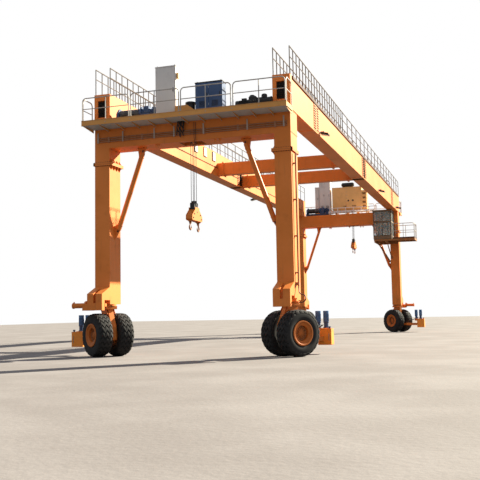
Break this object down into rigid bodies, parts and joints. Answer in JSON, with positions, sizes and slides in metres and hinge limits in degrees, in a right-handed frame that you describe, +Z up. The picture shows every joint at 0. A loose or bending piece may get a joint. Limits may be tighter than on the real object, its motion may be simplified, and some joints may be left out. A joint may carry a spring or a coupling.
{
  "type": "rubber tyred gantry crane",
  "caption": "Rubber tyred gantry crane with portal frames under long box girders, winch decks, hook blocks, a side cab and steered twin wheels.",
  "frame": {"origin": "on the ground, in the middle of the crane", "axes": "+X across the crane to the side of the cab, +Y along the girders towards the portal with the cab, +Z up"},
  "size_m": [11.0934, 34.06, 11.57],
  "materials": {
    "black_metal": "black paint",
    "conduit_steel": "galvanised conduit",
    "deck_paint": "orange paint over grey undersides",
    "frame_paint": "semi-gloss orange paint, weathered",
    "galvanised": "galvanised tube",
    "glass": "clear, slightly grey",
    "grey_paint": "grey paint",
    "hook_paint": "forged steel with brown-orange paint",
    "hose_rubber": "black rubber hose",
    "navy_paint": "dark blue paint",
    "pack_paint": "blue motors on an orange tank",
    "rim_paint": "orange paint",
    "rope_steel": "greased wire rope",
    "tan_paint": "tan paint",
    "tyre": "matt rubber"
  },
  "bodies": {
    "gantry": {"leg_front_left": "frame_paint", "leg_front_right": "frame_paint", "leg_rear_left": "frame_paint", "leg_rear_right": "frame_paint", "cross_beam_front": "frame_paint", "cross_beam_rear": "frame_paint", "girder_left": "frame_paint", "girder_right": "frame_paint", "tie_beams": "frame_paint", "knee_braces": "frame_paint", "deck_front": "deck_paint", "deck_rear": "deck_paint", "deck_rail_front": "galvanised", "deck_rail_rear": "galvanised", "walk_rails_left": "galvanised", "walk_rails_right": "galvanised", "winch_front": "navy_paint", "winch_rear": "navy_paint", "control_cabinet_front": "grey_paint", "control_cabinets_rear": "grey_paint", "cooler_cabinet": "navy_paint", "front_machines": "black_metal", "generator_set": "tan_paint", "cab_frame": "frame_paint", "cab_glass": "glass", "cab_platform": "frame_paint", "cab_platform_rail": "galvanised", "rope_sheaves": "rope_steel", "ropes_front": "rope_steel", "ropes_rear": "rope_steel", "cable_pipes": "conduit_steel", "rear_pipe_rail": "galvanised", "floodlights": "black_metal", "steering_cylinders": "frame_paint", "hose_a": "hose_rubber", "hose_b": "hose_rubber"},
    "steering_front_left": {"fork_front_left": "frame_paint", "power_pack_front_left": "pack_paint"},
    "wheels_front_left": {"tyres_front_left": "tyre", "rims_front_left": "rim_paint"},
    "steering_front_right": {"fork_front_right": "frame_paint", "power_pack_front_right": "pack_paint"},
    "wheels_front_right": {"tyres_front_right": "tyre", "rims_front_right": "rim_paint"},
    "steering_rear_left": {"fork_rear_left": "frame_paint", "power_pack_rear_left": "pack_paint"},
    "wheels_rear_left": {"tyres_rear_left": "tyre", "rims_rear_left": "rim_paint"},
    "steering_rear_right": {"fork_rear_right": "frame_paint", "power_pack_rear_right": "pack_paint"},
    "wheels_rear_right": {"tyres_rear_right": "tyre", "rims_rear_right": "rim_paint"},
    "hoist_block_front": {"hook_block_front": "frame_paint", "sheave_box_front": "black_metal"},
    "swivel_front_outer": {"hook_front_outer": "hook_paint"},
    "swivel_front_inner": {"hook_front_inner": "hook_paint"},
    "hoist_block_rear": {"hook_block_rear": "frame_paint", "sheave_box_rear": "black_metal"},
    "swivel_rear_outer": {"hook_rear_outer": "hook_paint"},
    "swivel_rear_inner": {"hook_rear_inner": "hook_paint"}
  },
  "joints": [
    {"name": "steer_front_left", "type": "hinge", "parent": "gantry", "child": "steering_front_left", "pos_m": [-3.575, -15.7, 1.9], "axis": [0, 0, 1], "range_deg": [-59, 41]},
    {"name": "roll_front_left", "type": "hinge", "parent": "steering_front_left", "child": "wheels_front_left", "pos_m": [-3.575, -15.7, 0.815], "axis": [0.5878, 0.809, 0], "continuous": true},
    {"name": "steer_front_right", "type": "hinge", "parent": "gantry", "child": "steering_front_right", "pos_m": [3.575, -15.7, 1.9], "axis": [0, 0, 1], "range_deg": [-59, 41]},
    {"name": "roll_front_right", "type": "hinge", "parent": "steering_front_right", "child": "wheels_front_right", "pos_m": [3.575, -15.7, 0.815], "axis": [0.809, -0.5878, 0], "continuous": true},
    {"name": "steer_rear_left", "type": "hinge", "parent": "gantry", "child": "steering_rear_left", "pos_m": [-3.575, 15.7, 1.9], "axis": [0, 0, 1], "range_deg": [-59, 41]},
    {"name": "roll_rear_left", "type": "hinge", "parent": "steering_rear_left", "child": "wheels_rear_left", "pos_m": [-3.575, 15.7, 0.815], "axis": [-0.809, 0.5878, 0], "continuous": true},
    {"name": "steer_rear_right", "type": "hinge", "parent": "gantry", "child": "steering_rear_right", "pos_m": [3.575, 15.7, 1.9], "axis": [0, 0, 1], "range_deg": [-59, 41]},
    {"name": "roll_rear_right", "type": "hinge", "parent": "steering_rear_right", "child": "wheels_rear_right", "pos_m": [3.575, 15.7, 0.815], "axis": [-0.5878, -0.809, 0], "continuous": true},
    {"name": "hoist_front", "type": "slide", "parent": "gantry", "child": "hoist_block_front", "axis": [0, 0, 1], "range_m": [-4.1, 1.85], "deforming": ["ropes_front"]},
    {"name": "hoist_rear", "type": "slide", "parent": "gantry", "child": "hoist_block_rear", "axis": [0, 0, 1], "range_m": [-5.4, 0.55], "deforming": ["ropes_rear"]},
    {"name": "swivel_front_outer", "type": "hinge", "parent": "hoist_block_front", "child": "swivel_front_outer", "pos_m": [0, -16.09, 5], "axis": [0, 0, 1], "continuous": true},
    {"name": "swivel_front_inner", "type": "hinge", "parent": "hoist_block_front", "child": "swivel_front_inner", "pos_m": [0, -15.31, 5], "axis": [0, 0, 1], "continuous": true},
    {"name": "swivel_rear_outer", "type": "hinge", "parent": "hoist_block_rear", "child": "swivel_rear_outer", "pos_m": [0.5, 16.09, 6.25], "axis": [0, 0, 1], "continuous": true},
    {"name": "swivel_rear_inner", "type": "hinge", "parent": "hoist_block_rear", "child": "swivel_rear_inner", "pos_m": [0.5, 15.31, 6.25], "axis": [0, 0, 1], "continuous": true}
  ]
}
